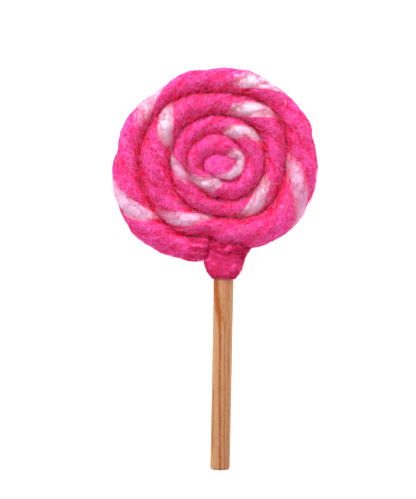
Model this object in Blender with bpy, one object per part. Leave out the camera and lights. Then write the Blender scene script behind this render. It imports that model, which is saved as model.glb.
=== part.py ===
"""Felt lollipop toy lying on its back: a twisted wool rope wound into a flat coil, a felt collar
and a round wooden stick. Metres, +Z up. The coil's middle is at x = 0, y = 0, the surface that the
toy lies on is at z = 0, and the stick runs from the coil towards -Y.
"""

import math

import bmesh
import bpy
from mathutils import Matrix, Vector

MM = 0.001

# Space kept between pieces, and between neighbouring turns of the rope.
CLEARANCE = 0.3 * MM

# The rope is followed inwards from its loose end. Its place is given in turns, clockwise from
# above: 0 at the stick, 0.25 on the left, 0.5 at the far end and 0.75 on the right.
# COIL_RADII is the distance from the coil's middle to the rope's outer edge at each eighth of a
# turn, one row for each turn. The edge a turn further on is the rope's inner edge.
COIL_RADII = (
    (47.7, 54.5, 54.9, 51.5, 49.6, 48.5, 48.7, 46.3),
    (39.9, 40.6, 41.7, 41.4, 37.2, 37.7, 32.3, 31.1),
    (25.8, 26.7, 26.4, 27.3, 25.9, 24.7, 21.8, 19.6),
    (16.8, 15.9, 17.3, 17.2, 14.8, 11.9, 10.6, 8.7),
    (6.1, 6.3, 10.1, 6.6, 4.7, 5.2, 8.6),
)
EIGHTHS = [radius * MM for row in COIL_RADII for radius in row]
COIL_TURNED = math.radians(1.1)
LOOSE_END = 0.024
# The second turn dips inwards where the loose end tucks in beside it.
TUCK_PLACE = 1.04
TUCK_DEPTH = 3.5 * MM
TUCK_SPREAD = 0.028
# How far the strands swell out from the coil's free outline, or dip in from it: turn, millimetres.
OUTLINE_SWELLS = (
    (0.00, 0.0), (0.07, -0.3), (0.16, 1.1), (0.25, 0.0), (0.34, 1.0), (0.44, 0.0), (0.51, 0.2),
    (0.54, 1.0), (0.62, 0.4), (0.675, 0.9), (0.72, -0.6), (0.78, -0.6), (0.87, 0.0), (0.94, 0.9),
    (1.00, 0.0),
)
# Between these two places the rope doubles back round the inner end of its own crease, and from
# there on it fills the heart of the coil.
FOLD_STARTS = 3.69
FOLD_ENDS = 3.81
HEART_END = 4.22
HEART_TIP = 4.25
# The fold leaves a small open eye instead of a knife-sharp crease.
FOLD_EYE = 0.6 * MM
FOLD_SPREAD = 0.16
# The creases between strands fade out over this stretch, where the heart is felted smooth.
HEART_SMOOTH_FROM = 3.66
HEART_SMOOTH_TO = 3.86

# Height of the rope above the surface, from a flat base and a share of its own width.
ROPE_HEIGHT = 8.6 * MM
HEIGHT_PER_WIDTH = 0.44
PRESSED_FLAT = 1.4 * MM
SQUARENESS = 2.4
END_ROUNDING = 4.0 * MM
END_BLUNTNESS = 0.3 * MM
HEART_ROUNDING = 9.0 * MM

# Where each pale streak is on top of the rope, in turns, and how far either side of that place it
# meets the rope's two edges. The rope twists once from one streak to the next.
PALE_STREAKS = (
    (0.172, 0.031), (0.350, 0.018), (0.545, 0.030), (0.780, 0.050), (1.100, 0.048),
    (1.343, 0.035), (1.565, 0.038), (1.868, 0.050), (2.227, 0.040), (2.572, 0.062),
    (3.090, 0.070), (3.650, 0.090),
)
STREAK_AT_EDGE = 0.19
# Four strands: the pale one, and three of pink. Creases lie between them, at these points of the
# section, counted from the middle of the pale strand.
SECTION_POINTS = 18
CREASE_POINTS = {2: 0.9 * MM, 6: 1.3 * MM, 11: 1.0 * MM, 16: 0.9 * MM}
LONGEST_STEP = 5.0 * MM
CHORD_ERROR = 0.1 * MM
MOST_TWIST = 0.075
TWIST_BLUR = 0.012

# The stick and the felt collar share one axis, parallel to +Y.
AXIS_X = 1.9 * MM
AXIS_Z = 7.5 * MM
STICK_RADIUS = 5.0 * MM
STICK_BOTTOM = -153.4 * MM
STICK_TOP = -42.4 * MM
STICK_RIM = 1.5 * MM
STICK_SIDES = 40

# Collar: distance along the axis, half width there.
COLLAR_PROFILE = (
    (-56.8, 5.8), (-56.1, 7.0), (-54.6, 8.0), (-52.4, 9.0), (-49.4, 9.9),
    (-46.2, 10.4), (-43.2, 10.6), (-41.0, 10.0), (-39.2, 8.6), (-37.8, 6.0),
)
COLLAR_HALF_DEPTH = 7.4 * MM
COLLAR_SIDES = 28
FLARE_START = -48.0 * MM
FLARE_REACH = 4.6 * MM
FLARE_LENGTH = 8.0 * MM

PINK = (0.83, 0.014, 0.23, 1.0)
PALE_PINK = (0.80, 0.58, 0.68, 1.0)
WOOD = (0.62, 0.37, 0.20, 1.0)


def clear_scene():
    """Removes whatever the scene holds."""
    for thing in list(bpy.data.objects):
        bpy.data.objects.remove(thing, do_unlink=True)


def new_collection(name):
    collection = bpy.data.collections.new(name)
    bpy.context.scene.collection.children.link(collection)
    return collection


def new_material(name, colour, roughness):
    material = bpy.data.materials.new(name)
    material.use_nodes = True
    shader = material.node_tree.nodes["Principled BSDF"]
    shader.inputs["Base Color"].default_value = colour
    shader.inputs["Roughness"].default_value = roughness
    shader.inputs["Metallic"].default_value = 0.0
    material.diffuse_color = colour
    return material


def edge_radius(turn):
    """Distance from the coil's middle to the rope's outer edge, on a smooth curve."""
    last = len(EIGHTHS) - 1
    place = min(max(turn * 8, 0.0), last - 1e-6)
    index = int(place)
    part = place - index
    before, start, end, after = (EIGHTHS[min(max(index + k, 0), last)] for k in (-1, 0, 1, 2))
    slope = end - before
    bend = 2 * before - 5 * start + 4 * end - after
    twist = 3 * (start - end) + after - before
    radius = start + 0.5 * part * (slope + part * (bend + part * twist))
    return radius - TUCK_DEPTH * math.exp(-(((turn - TUCK_PLACE) / TUCK_SPREAD) ** 2))


def edge_point(turn):
    """The place of the rope's outer edge, seen from above."""
    angle = math.tau * turn - COIL_TURNED
    radius = edge_radius(turn)
    return Vector((-radius * math.sin(angle), -radius * math.cos(angle), 0.0))


def inner_turn(turn):
    """The turn whose outer edge is this turn's inner edge. In the heart it runs backwards."""
    if turn <= FOLD_ENDS:
        return min(turn, FOLD_STARTS) + 1
    share = (turn - FOLD_ENDS) / (HEART_TIP - FOLD_ENDS)
    return FOLD_STARTS + 1 + share * (HEART_TIP - FOLD_STARTS - 1)


def read_line(marks, place):
    """Value at a place by straight lines between marks, and along the last line past its end."""
    for (start, low), (end, high) in zip(marks, marks[1:]):
        if place <= end or (end, high) == marks[-1]:
            return low + (high - low) * (place - start) / (end - start)
    return 0.0


def outline_swell(turn):
    """How far the rope's outer edge swells out here. Only the first turn's edge is free."""
    return read_line(OUTLINE_SWELLS, turn) * MM if turn < 1.0 else 0.0


def marked_twist(turn):
    """How many times the rope has twisted here, by straight lines between the streaks' marks."""
    marks = []
    for number, (place, reach) in enumerate(PALE_STREAKS):
        marks.append((place - reach, number - STREAK_AT_EDGE))
        marks.append((place + reach, number + STREAK_AT_EDGE))
    return read_line(marks, turn)


def twist_at(turn):
    """The same twist with its sudden changes of rate evened out."""
    offsets = (-1.0, -0.5, 0.0, 0.5, 1.0)
    return sum(marked_twist(turn + TWIST_BLUR * offset) for offset in offsets) / len(offsets)


def squared(value):
    """Cosine or sine of a rounded section that is a little squarer than an ellipse."""
    return math.copysign(abs(value) ** (2 / SQUARENESS), value)


def rope_section(turn, from_end, spare=0.0):
    """One ring of points round the rope. from_end is the rope's length from its loose end, and
    spare makes it fatter, for use in a cutter."""
    outer = edge_point(turn)
    inner = edge_point(inner_turn(turn))
    fold_middle = (FOLD_STARTS + FOLD_ENDS) / 2
    eye = FOLD_EYE * math.exp(-(((turn - fold_middle) / FOLD_SPREAD) ** 2))
    inner += (outer - inner).normalized() * eye
    outer += (outer - inner).normalized() * outline_swell(turn)
    middle = (outer + inner) / 2
    across = outer - inner
    width = across.length - CLEARANCE
    height = ROPE_HEIGHT + HEIGHT_PER_WIDTH * width
    if turn > FOLD_ENDS:
        height *= min(1.0, width / HEART_ROUNDING) ** 0.5
    half_width = width / 2
    half_height = (height + PRESSED_FLAT) / 2
    middle.z = half_height - PRESSED_FLAT
    if from_end < END_ROUNDING:
        shrink = math.sqrt(1 - (1 - from_end / END_ROUNDING) ** 2)
        half_width *= shrink
        half_height *= shrink
    half_width += spare
    half_height += spare
    across.normalize()
    start_angle = math.pi / 2 - math.tau * twist_at(turn)
    fade = (HEART_SMOOTH_TO - turn) / (HEART_SMOOTH_TO - HEART_SMOOTH_FROM)
    crease_share = min(1.0, max(0.0, fade))
    free_side = turn < 1.0
    ring = []
    for point in range(SECTION_POINTS):
        angle = start_angle - math.tau * point / SECTION_POINTS
        sideways = half_width * squared(math.cos(angle))
        upwards = half_height * squared(math.sin(angle))
        reach = math.hypot(sideways, upwards)
        shown = max(0.0, math.sin(angle))
        if free_side:
            shown = max(shown, math.cos(angle))
        crease = CREASE_POINTS.get(point, 0.0) * min(1.0, 1.6 * shown) * crease_share
        keep = 1 - min(0.4, crease / max(reach, MM))
        place = middle + across * sideways * keep
        place.z = max(0.0, middle.z + upwards * keep)
        ring.append(place)
    return ring


def rope_stops():
    """Places of the sections along the rope, closer together where it bends or twists tighter,
    each with the rope's length up to there."""
    stops = [(LOOSE_END, 0.0)]
    while stops[-1][0] < HEART_END:
        turn, length = stops[-1]
        radius = max(edge_radius(turn), 5 * MM)
        step = min(LONGEST_STEP, math.sqrt(8 * radius * CHORD_ERROR))
        if length < END_ROUNDING:
            step = END_ROUNDING / 4
        advance = step / (math.tau * radius)
        twist = twist_at(turn + advance) - twist_at(turn)
        if twist > MOST_TWIST:
            advance *= MOST_TWIST / twist
        stops.append((turn + advance, length + advance * math.tau * radius))
    stops[-1] = (HEART_END, stops[-1][1])
    return stops


def loft(bm, rings):
    """Skin over a row of rings that have the same number of points, with a pole at each end."""
    rows = [[bm.verts.new(place) for place in ring] for ring in rings]
    for near, far in zip(rows, rows[1:]):
        for index in range(len(near)):
            after = (index + 1) % len(near)
            bm.faces.new((near[index], near[after], far[after], far[index]))
    for row in (rows[0], rows[-1]):
        pole = bm.verts.new(sum((vert.co for vert in row), Vector()) / len(row))
        for index, vert in enumerate(row):
            bm.faces.new((vert, row[(index + 1) % len(row)], pole))
    bmesh.ops.recalc_face_normals(bm, faces=bm.faces)


def finish_mesh(name, bm, collection, materials, sharp_degrees=40):
    mesh = bpy.data.meshes.new(name)
    bm.to_mesh(mesh)
    bm.free()
    thing = bpy.data.objects.new(name, mesh)
    collection.objects.link(thing)
    for material in materials:
        mesh.materials.append(material)
    mesh.shade_smooth()
    mesh.set_sharp_from_angle(angle=math.radians(sharp_degrees))
    return thing


def build_coil(collection, materials):
    """The whole twisted rope."""
    rings = [rope_section(turn, length + END_BLUNTNESS) for turn, length in rope_stops()]
    bm = bmesh.new()
    loft(bm, rings)
    paint_pale_strand(bm, len(rings))
    return finish_mesh("coil", bm, collection, materials)


def build_rope_cutter(name, collection, start, end):
    """A stretch of the same rope, fatter by the clearance, with blunt ends."""
    turns = [turn for turn, length in rope_stops() if start <= turn <= end]
    if start == LOOSE_END:
        turns.insert(0, start - 1.2 * CLEARANCE / (math.tau * edge_radius(start)))
    bm = bmesh.new()
    loft(bm, [rope_section(turn, END_ROUNDING, CLEARANCE) for turn in turns])
    return finish_mesh(name, bm, collection, [])


def paint_pale_strand(bm, ring_count):
    """Gives the faces of the pale strand the second material."""
    bm.faces.ensure_lookup_table()
    pale = (0, 1, SECTION_POINTS - 2, SECTION_POINTS - 1)
    for ring in range(ring_count - 1):
        for point in pale:
            bm.faces[ring * SECTION_POINTS + point].material_index = 1


def build_collar(collection, material):
    """Felt barrel round the stick's top. Its upper right side flares into the coil."""
    rings = []
    for along, half in COLLAR_PROFILE:
        y = along * MM
        half_width = half * MM
        depth_limit = COLLAR_HALF_DEPTH
        half_depth = half_width * depth_limit / (half_width**4 + depth_limit**4) ** 0.25
        half_depth = max(half_depth, min(half_width, STICK_RADIUS + 0.6 * MM))
        flare = max(0.0, (y - FLARE_START) / FLARE_LENGTH)
        ring = []
        for side in range(COLLAR_SIDES):
            angle = math.tau * side / COLLAR_SIDES
            x = AXIS_X + half_width * math.cos(angle)
            if math.cos(angle) > 0:
                x += FLARE_REACH * flare**2 * math.cos(angle) ** 2
            z = AXIS_Z + half_depth * math.sin(angle)
            ring.append(Vector((x, y, z)))
        rings.append(ring)
    bm = bmesh.new()
    loft(bm, rings)
    return finish_mesh("collar", bm, collection, [material])


def build_rod(name, collection, materials, radius, start, end, rim=0.0):
    """A round rod along Y from start to end, with an optional rounded rim at its start."""
    bm = bmesh.new()
    bmesh.ops.create_cone(
        bm, cap_ends=True, segments=STICK_SIDES, radius1=radius, radius2=radius,
        depth=end - start,
    )
    lay_down = Matrix.Rotation(-math.pi / 2, 4, "X")
    place = Matrix.Translation((AXIS_X, (start + end) / 2, AXIS_Z))
    bmesh.ops.transform(bm, matrix=place @ lay_down, verts=bm.verts)
    if rim:
        edges = [edge for edge in bm.edges if all(v.co.y < start + rim for v in edge.verts)]
        bmesh.ops.bevel(bm, geom=edges, offset=rim, segments=3, profile=0.5, affect="EDGES")
    return finish_mesh(name, bm, collection, materials)


def cut(target, cutter):
    """Takes the cutter's shape out of the target, and keeps the cutter as a hidden guide."""
    modifier = target.modifiers.new("cut by " + cutter.name, "BOOLEAN")
    modifier.operation = "DIFFERENCE"
    modifier.solver = "EXACT"
    modifier.object = cutter
    cutter.hide_render = True
    cutter.display_type = "WIRE"


def main():
    clear_scene()
    parts = new_collection("felt lollipop")
    cutters = new_collection("cutters")
    pink = new_material("pink wool felt", PINK, 0.95)
    pale = new_material("pale wool felt", PALE_PINK, 0.95)
    wood = new_material("bare wood", WOOD, 0.7)

    build_coil(parts, [pink, pale])
    collar = build_collar(parts, pink)
    build_rod("stick", parts, [wood], STICK_RADIUS, STICK_BOTTOM, STICK_TOP, STICK_RIM)

    bore_end = STICK_TOP + CLEARANCE
    bore_start = STICK_TOP - 30 * MM
    bore = build_rod("bore", cutters, [], STICK_RADIUS + CLEARANCE, bore_start, bore_end)
    cut(collar, bore)
    for name, start, end in (("turn above", 0.86, 1.14), ("loose end", LOOSE_END, 0.12)):
        cut(collar, build_rope_cutter(name, cutters, start, end))


main()
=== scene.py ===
"""Felt lollipop toy lying on its back: a coil of twisted wool rope, a felt collar and a wooden stick.

Lengths are in metres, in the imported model's frame: +Z is up, the coil's middle is above the origin,
and the stick runs towards -Y. A place along the rope is given in turns from its loose end inwards,
clockwise from above: 0 at the stick, 0.25 on the left, 0.5 at the far end and 0.75 on the right.
"""

import logging
import math
from collections.abc import Callable
from dataclasses import dataclass
from enum import Enum

import bmesh
import bpy
import numpy as np
from mathutils import Matrix, Vector


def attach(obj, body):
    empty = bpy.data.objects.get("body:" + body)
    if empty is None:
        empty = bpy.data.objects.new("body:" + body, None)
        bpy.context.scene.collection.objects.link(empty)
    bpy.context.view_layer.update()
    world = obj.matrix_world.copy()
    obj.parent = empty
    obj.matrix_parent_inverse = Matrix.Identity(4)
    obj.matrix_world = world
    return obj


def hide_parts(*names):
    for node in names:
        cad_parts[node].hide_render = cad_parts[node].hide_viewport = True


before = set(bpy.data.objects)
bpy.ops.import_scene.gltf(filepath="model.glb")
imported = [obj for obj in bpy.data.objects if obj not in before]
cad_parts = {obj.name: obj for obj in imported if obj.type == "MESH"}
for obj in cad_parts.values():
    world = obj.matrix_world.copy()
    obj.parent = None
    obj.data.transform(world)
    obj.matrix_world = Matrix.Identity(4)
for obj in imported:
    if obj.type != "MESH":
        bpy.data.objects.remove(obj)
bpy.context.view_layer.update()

MM = 0.001
BODY = "root"
# The stick's axis, and where along Y it comes out of the collar.
STICK_X = 1.9 * MM
STICK_Z = 7.5 * MM
COLLAR_EDGE = -56.8 * MM
# The paleness far from any pale strand.
NOT_PALE = -3.0
# A short step over a skin, and the least length that a direction is taken from.
NEAR_STEP = 1e-4
NEARLY_NONE = 1e-12
log = logging.getLogger("lollipop")

Colour = tuple[float, float, float]
Row = tuple[float, ...]
Array = np.ndarray
Socket = bpy.types.NodeSocket
Object = bpy.types.Object
SkinPoint = Callable[[Array, Array], Array]


class Slot(Enum):
    """The record's material slots."""

    FELT = "pink_felt"
    WOOD = "bare_wood"


class Tone(Enum):
    """Which wool a loose fibre is made of."""

    PINK = "pink"
    PALE = "pale"


def tint(*levels: int) -> Colour:
    """Turns a screen's red, green and blue, from 0 to 255, into the linear values that a shader takes."""
    shares = [level / 255 for level in levels]
    return tuple(s / 12.92 if s <= 0.04045 else ((s + 0.055) / 1.055) ** 2.4 for s in shares)


def unit(rows: Array) -> Array:
    """Gives each row's direction."""
    return rows / np.maximum(np.linalg.norm(rows, axis=-1, keepdims=True), NEARLY_NONE)


def bump_at(values: Array, middle: float, spread: float) -> Array:
    """Gives a smooth hump of height 1 round a middle."""
    return np.exp(-(((values - middle) / spread) ** 2))


def eased(values: Array, low: float, high: float) -> Array:
    """Gives a smooth step from 0 at low to 1 at high."""
    share = np.clip((values - low) / (high - low), 0.0, 1.0)
    return share * share * (3 - 2 * share)


def smooth_between(values: Array, place: Array) -> Array:
    """Reads a smooth curve through evenly spaced values.

    Args:
        values: The values that the curve passes through.
        place: Where to read it, counted in steps from the first value.

    Returns:
        The curve's value at each place.
    """
    last = len(values) - 1
    held = np.clip(place, 0.0, last - 1e-6)
    index = held.astype(int)
    part = held - index
    before, start, end, after = (values[np.clip(index + k, 0, last)] for k in (-1, 0, 1, 2))
    bend = 2 * before - 5 * start + 4 * end - after
    twist = 3 * (start - end) + after - before
    return start + 0.5 * part * (end - before + part * (bend + part * twist))


class LatticeNoise:
    """Smooth seeded noise in space, from -1 to 1."""

    TABLE_SIZE = 4096

    def __init__(self, seed: int) -> None:
        """Draws the lattice's values."""
        self.table = np.random.default_rng(seed).uniform(-1.0, 1.0, self.TABLE_SIZE)

    def corner(self, cell: Array) -> Array:
        """Looks up the value at lattice corners, given as rows of whole coordinates."""
        mixed = (cell[:, 0] * 73856093) ^ (cell[:, 1] * 19349663) ^ (cell[:, 2] * 83492791)
        return self.table[mixed % self.TABLE_SIZE]

    def at(self, places: Array, grain: float) -> Array:
        """Reads the noise.

        Args:
            places: Points in space, one row each.
            grain: Size of its lumps.

        Returns:
            One value for each point.
        """
        scaled = places / grain
        cell = np.floor(scaled).astype(np.int64)
        part = scaled - cell
        ease = part * part * (3 - 2 * part)
        total = np.zeros(len(places))
        for step in np.ndindex(2, 2, 2):
            weight = np.prod(np.where(np.array(step) == 1, ease, 1 - ease), axis=1)
            total += weight * self.corner(cell + np.array(step))
        return total


@dataclass(frozen=True)
class Streak:
    """One place where the pale strand comes over the top of the rope.

    It crosses the top at place and meets the rope's two edges at reach either side, in turns. Width is
    a share of the strand's usual width. The fades are the softness of its borders towards the loose end
    and the heart, in twists. Whiteness is 0 where much pink is felted in, and 1 or more where it is
    clean. The tips are places across the rope, 0 at its outer edge and 1 at its inner.
    """

    place: float
    reach: float
    width: float
    fade_low: float
    fade_high: float
    whiteness: float
    outer_tip: float
    inner_tip: float


@dataclass(frozen=True)
class Blush:
    """A spot where pink wool is felted over a pale streak.

    Place and length are in turns, across and breadth in shares of the rope's width. Length and breadth
    are half of the whole. Strength is how far the paleness falls there.
    """

    place: float
    across: float
    length: float
    breadth: float
    strength: float


@dataclass(frozen=True)
class Notch:
    """A dent where two strands meet at the coil's outline: its place in turns, and its depth."""

    place: float
    depth: float


@dataclass(frozen=True)
class ShadedGap:
    """A spot of painted shade deep in the gap between two turns: its place and half its breadth, in
    millimetres.
    """

    x: float
    y: float
    size: float


# Spots of painted shade where the gaps between turns and beside the collar are deepest, in millimetres.
SHADED_GAPS = (
    ShadedGap(-5.4, -41.0, 1.8), ShadedGap(-5.7, -36.8, 1.4), ShadedGap(-6.5, -45.1, 1.1), ShadedGap(31.2, 0.5, 1.5),
    ShadedGap(32.2, 12.5, 1.0), ShadedGap(6.4, 12.0, 1.2), ShadedGap(-1.9, -16.6, 1.4), ShadedGap(22.2, 2.9, 1.1),
    ShadedGap(12.5, 22.2, 1.3), ShadedGap(-8.8, 38.7, 1.3), ShadedGap(-18.7, -33.9, 1.5), ShadedGap(-36.0, -20.9, 1.3),
    ShadedGap(-20.9, -18.8, 1.2), ShadedGap(1.5, -26.0, 1.2), ShadedGap(-2.2, -16.4, 1.0), ShadedGap(27.0, -15.0, 1.2),
    ShadedGap(-27.0, 8.0, 1.2),
)


def shade_of_gaps(places: Array) -> Array:
    """Says how near each point is to a spot of painted shade in a deep gap between turns.

    Args:
        places: Points, one row each.

    Returns:
        1 in a spot's middle, 0 far from all of them.
    """
    total = np.zeros(len(places))
    for deep_gap_shade in SHADED_GAPS:
        away = np.hypot(places[:, 0] - deep_gap_shade.x * MM, places[:, 1] - deep_gap_shade.y * MM)
        total = np.maximum(total, bump_at(away, 0.0, deep_gap_shade.size * MM))
    return total


@dataclass(frozen=True)
class RopeSkin:
    """The skin of the wound rope, as a surface over its turn and the angle round its section.

    The angle is 0 at the outer side, a quarter turn on top and half a turn at the inner side. The
    radii and swells of the outline are in millimetres.
    """

    radii: Row = (
        47.7, 54.5, 54.9, 51.5, 49.6, 48.5, 48.7, 46.3,
        39.9, 40.6, 41.7, 41.4, 37.2, 37.7, 32.3, 31.1,
        25.8, 26.7, 26.4, 27.3, 25.9, 24.7, 21.8, 19.6,
        16.8, 15.9, 17.3, 17.2, 14.8, 11.9, 10.6, 8.7,
        6.1, 6.3, 10.1, 6.6, 4.7, 5.2, 8.6,
    )
    radii_each_turn: int = 8
    turned: float = math.radians(1.1)
    loose_end: float = 0.024
    tuck_place: float = 1.035
    tuck_depth: float = 2.9 * MM
    tuck_spread: float = 0.028
    fold_starts: float = 3.69
    fold_ends: float = 3.81
    fold_blend: float = 0.05
    heart_end: float = 4.22
    heart_tip: float = 4.25
    heart_nears: tuple[float, float] = (2.7, 3.6)
    heart_flattens: tuple[float, float] = (3.45, 3.75)
    heart_shade_fades: tuple[float, float] = (3.15, 3.60)
    base_height: float = 8.6 * MM
    height_per_width: float = 0.44
    pressed_flat: float = 1.4 * MM
    squareness: float = 2.0
    heart_flatness: float = 1.0
    end_rounding: float = 4.0 * MM
    heart_rounding: float = 9.0 * MM
    overlap: float = 0.6 * MM
    heart_overlap: float = 2.8 * MM
    streak_at_edge: float = 0.19
    twist_blur: Row = (-0.012, -0.006, 0.0, 0.006, 0.012)
    strand_half_width: float = 0.111
    strand_roundness: float = 0.6
    tip_start: float = 0.012
    tip_fade: float = 0.06
    strand_creases: Row = (0.111, 0.333, 0.611, 0.889)
    crease_depth: float = 0.55 * MM
    crease_width: float = 0.045
    crease_reach: float = 1.6
    deepest_crease: float = 0.4
    notch_length: float = 0.035
    notch_width: float = 0.07
    streaks: tuple[Streak, ...] = (
        Streak(0.174, 0.031, 1.35, 0.05, 0.04, 0.6, -0.6, 1.0),
        Streak(0.352, 0.018, 2.0, 0.30, 0.04, 0.8, -0.7, 0.92),
        Streak(0.548, 0.030, 1.7, 0.16, 0.04, 1.0, -0.22, 0.78),
        Streak(0.788, 0.050, 1.15, 0.09, 0.08, 0.4, -0.15, 1.12),
        Streak(1.098, 0.048, 1.15, 0.05, 0.08, 0.5, -0.02, 1.25),
        Streak(1.345, 0.035, 1.40, 0.05, 0.04, 1.2, -0.03, 1.06),
        Streak(1.570, 0.038, 1.70, 0.08, 0.04, 1.5, -0.05, 1.08),
        Streak(1.864, 0.050, 1.80, 0.09, 0.04, 1.05, -0.04, 1.10),
        Streak(2.229, 0.040, 1.50, 0.10, 0.04, 0.6, -0.10, 1.15),
        Streak(2.574, 0.062, 1.35, 0.08, 0.08, 1.0, -0.03, 1.06),
        Streak(3.092, 0.070, 1.80, 0.08, 0.04, 1.3, -0.05, 1.05),
        Streak(3.650, 0.090, 1.35, 0.08, 0.04, 0.7, -0.3, 1.0),
    )
    blushes: tuple[Blush, ...] = (
        Blush(1.836, 0.38, 0.026, 0.08, 1.8),
        Blush(0.790, 0.36, 0.030, 0.12, 0.5),
        Blush(2.600, 0.50, 0.030, 0.10, 0.8),
        Blush(1.068, 0.72, 0.012, 0.08, 1.0),
    )
    band_places: Row = (3.58, 3.63, 3.69, 3.77, 3.86, 3.94, 4.02, 4.12)
    band_across: Row = (0.62, 0.53, 0.44, 0.40, 0.36, 0.27, 0.20, 0.14)
    band_half: Row = (0.00, 0.22, 0.26, 0.22, 0.15, 0.11, 0.09, 0.00)
    band_fade: float = 0.08
    band_ends: tuple[float, float] = (-4.05, -3.80)
    # Painted shade: the angles round the section over which the inner and outer grooves darken, the turns
    # where the outer groove's shade begins, the underside's painted shade, and the crease depth counted
    # as full shade.
    inner_groove_shade: tuple[float, float] = (0.38, 1.02)
    outer_groove_shade: tuple[float, float] = (0.56, 1.02)
    groove_shade_starts: tuple[float, float] = (0.98, 1.02)
    underside_shade_angles: tuple[float, float] = (-0.1, 0.4)
    underside_shade_strength: float = 0.35
    crease_shade_depth: float = 1.5 * MM
    notches: tuple[Notch, ...] = (
        Notch(0.275, 1.5 * MM), Notch(0.386, 1.5 * MM), Notch(0.479, 2.2 * MM), Notch(0.700, 1.1 * MM),
    )
    outline_places: Row = (
        0.00, 0.03, 0.07, 0.11, 0.15, 0.18, 0.21, 0.245, 0.27, 0.30, 0.33, 0.36, 0.39, 0.42, 0.455,
        0.475, 0.49, 0.52, 0.54, 0.56, 0.60, 0.62, 0.65, 0.675, 0.69, 0.71, 0.73, 0.75, 0.80, 0.82,
        0.85, 0.88, 0.92, 0.95, 0.97, 1.00,
    )
    outline_swells: Row = (
        0.0, -0.5, -0.3, 0.0, 1.2, 0.5, 0.8, 0.4, -0.4, 0.2, 0.4, -0.2, -0.2, -0.2, 0.4,
        0.2, -0.2, 0.0, 0.9, 0.4, 0.0, 0.3, 0.1, 0.9, 0.6, -0.9, -1.2, -0.6, -0.45, -0.6,
        0.2, 0.5, 1.1, 1.1, -0.2, 0.0,
    )

    def edge_radius(self, turn: Array) -> Array:
        """Gives the distance from the coil's middle to the rope's outer edge."""
        radius = smooth_between(np.array(self.radii) * MM, turn * self.radii_each_turn)
        return radius - self.tuck_depth * bump_at(turn, self.tuck_place, self.tuck_spread)

    def edge_point(self, turn: Array) -> Array:
        """Gives the rope's outer edge, seen from above, one row for each turn."""
        angle = math.tau * turn - self.turned
        return -self.edge_radius(turn)[..., None] * np.stack([np.sin(angle), np.cos(angle)], axis=-1)

    def inner_turn(self, turn: Array) -> Array:
        """Finds the turn whose outer edge is the inner edge here. In the heart it runs backwards.

        Args:
            turn: Places along the rope.

        Returns:
            The place that lies inwards of each.
        """
        share = (turn - self.fold_ends) / (self.heart_tip - self.fold_ends)
        start = self.fold_starts + 1
        back = start + share * (self.heart_tip - start)
        return np.where(turn <= self.fold_ends, np.minimum(turn, self.fold_starts) + 1, back)

    def twist(self, turn: Array) -> Array:
        """Counts how many times the rope has twisted since the first pale streak.

        Args:
            turn: Places along the rope.

        Returns:
            The count, a whole number where a streak crosses the top.
        """
        places: list[float] = []
        counts: list[float] = []
        edge = self.streak_at_edge
        for number, streak in enumerate(self.streaks):
            places += [streak.place - streak.reach, streak.place + streak.reach]
            counts += [number - edge, number + edge]
        total = np.zeros_like(turn)
        for offset in self.twist_blur:
            here = turn + offset
            read = np.interp(here, places, counts)
            read = read + np.minimum(here - places[0], 0) * (edge / self.streaks[0].reach)
            total += read + np.maximum(here - places[-1], 0) * (edge / self.streaks[-1].reach)
        return total / len(self.twist_blur)

    def phase(self, turn: Array, angle: Array) -> Array:
        """Gives the place across the strands in twists, a whole number in the pale strand's middle."""
        return (math.pi / 2 - angle) / math.tau - self.twist(turn)

    def ruler(self) -> tuple[Array, Array]:
        """Measures the rope along its outer edge.

        Returns:
            Close places along it, and the length from its loose end to each.
        """
        fine = np.linspace(self.loose_end, self.heart_end, 4000)
        steps = math.tau * self.edge_radius(fine) * (fine[1] - fine[0])
        return fine, np.cumsum(steps) - steps[0]

    def travelled(self, turn: Array) -> Array:
        """Gives the rope's length from its loose end."""
        return np.interp(turn, *self.ruler())

    def even_turns(self, shares: Array) -> Array:
        """Turns shares of the rope's length into places along it."""
        fine, length = self.ruler()
        return np.interp(shares, length / length[-1], fine)

    def crease(self, turn: Array, angle: Array) -> Array:
        """Gives the depth of the creases between strands.

        Args:
            turn: Places along the rope.
            angle: Angles round its section.

        Returns:
            The depth at each place.
        """
        phase = self.phase(turn, angle)
        depth = np.zeros_like(turn)
        for crease in self.strand_creases:
            away = (phase - crease + 0.5) % 1.0 - 0.5
            depth += self.crease_depth * bump_at(away, 0.0, self.crease_width)
        depth *= 1 - eased(turn, self.fold_starts - self.fold_blend, self.fold_ends + self.fold_blend)
        for notch in self.notches:
            away = phase - self.phase(np.full(1, notch.place), np.zeros(1))
            near = bump_at(turn, notch.place, self.notch_length)
            depth += notch.depth * bump_at(away, 0.0, self.notch_width) * near
        return depth

    def section(self, turn: Array) -> tuple[Array, Array, Array, Array]:
        """Gives the rope's section at each turn.

        Args:
            turn: Places along the rope.

        Returns:
            Its middle, the level direction from inner to outer edge, half its width and half its height.
        """
        outer = self.edge_point(turn)
        inner = self.edge_point(self.inner_turn(turn))
        direction = unit(outer - inner)
        swell = np.interp(turn, self.outline_places, self.outline_swells, right=0.0) * MM
        outer = outer + direction * swell[..., None]
        felted = self.overlap + self.heart_overlap * eased(turn, *self.heart_nears)
        width = np.linalg.norm(outer - inner, axis=-1) + felted
        heart = np.sqrt(np.minimum(1.0, width / self.heart_rounding))
        height = self.base_height + self.height_per_width * width
        height = height * np.where(turn > self.fold_ends, heart, 1.0)
        half_height = (height + self.pressed_flat) / 2
        middle = np.concatenate([(outer + inner) / 2, (half_height - self.pressed_flat)[..., None]], -1)
        shrink = np.sqrt(1 - np.clip(1 - self.travelled(turn) / self.end_rounding, 0.0, 1.0) ** 2)
        return middle, direction, shrink * width / 2, shrink * half_height

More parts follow.
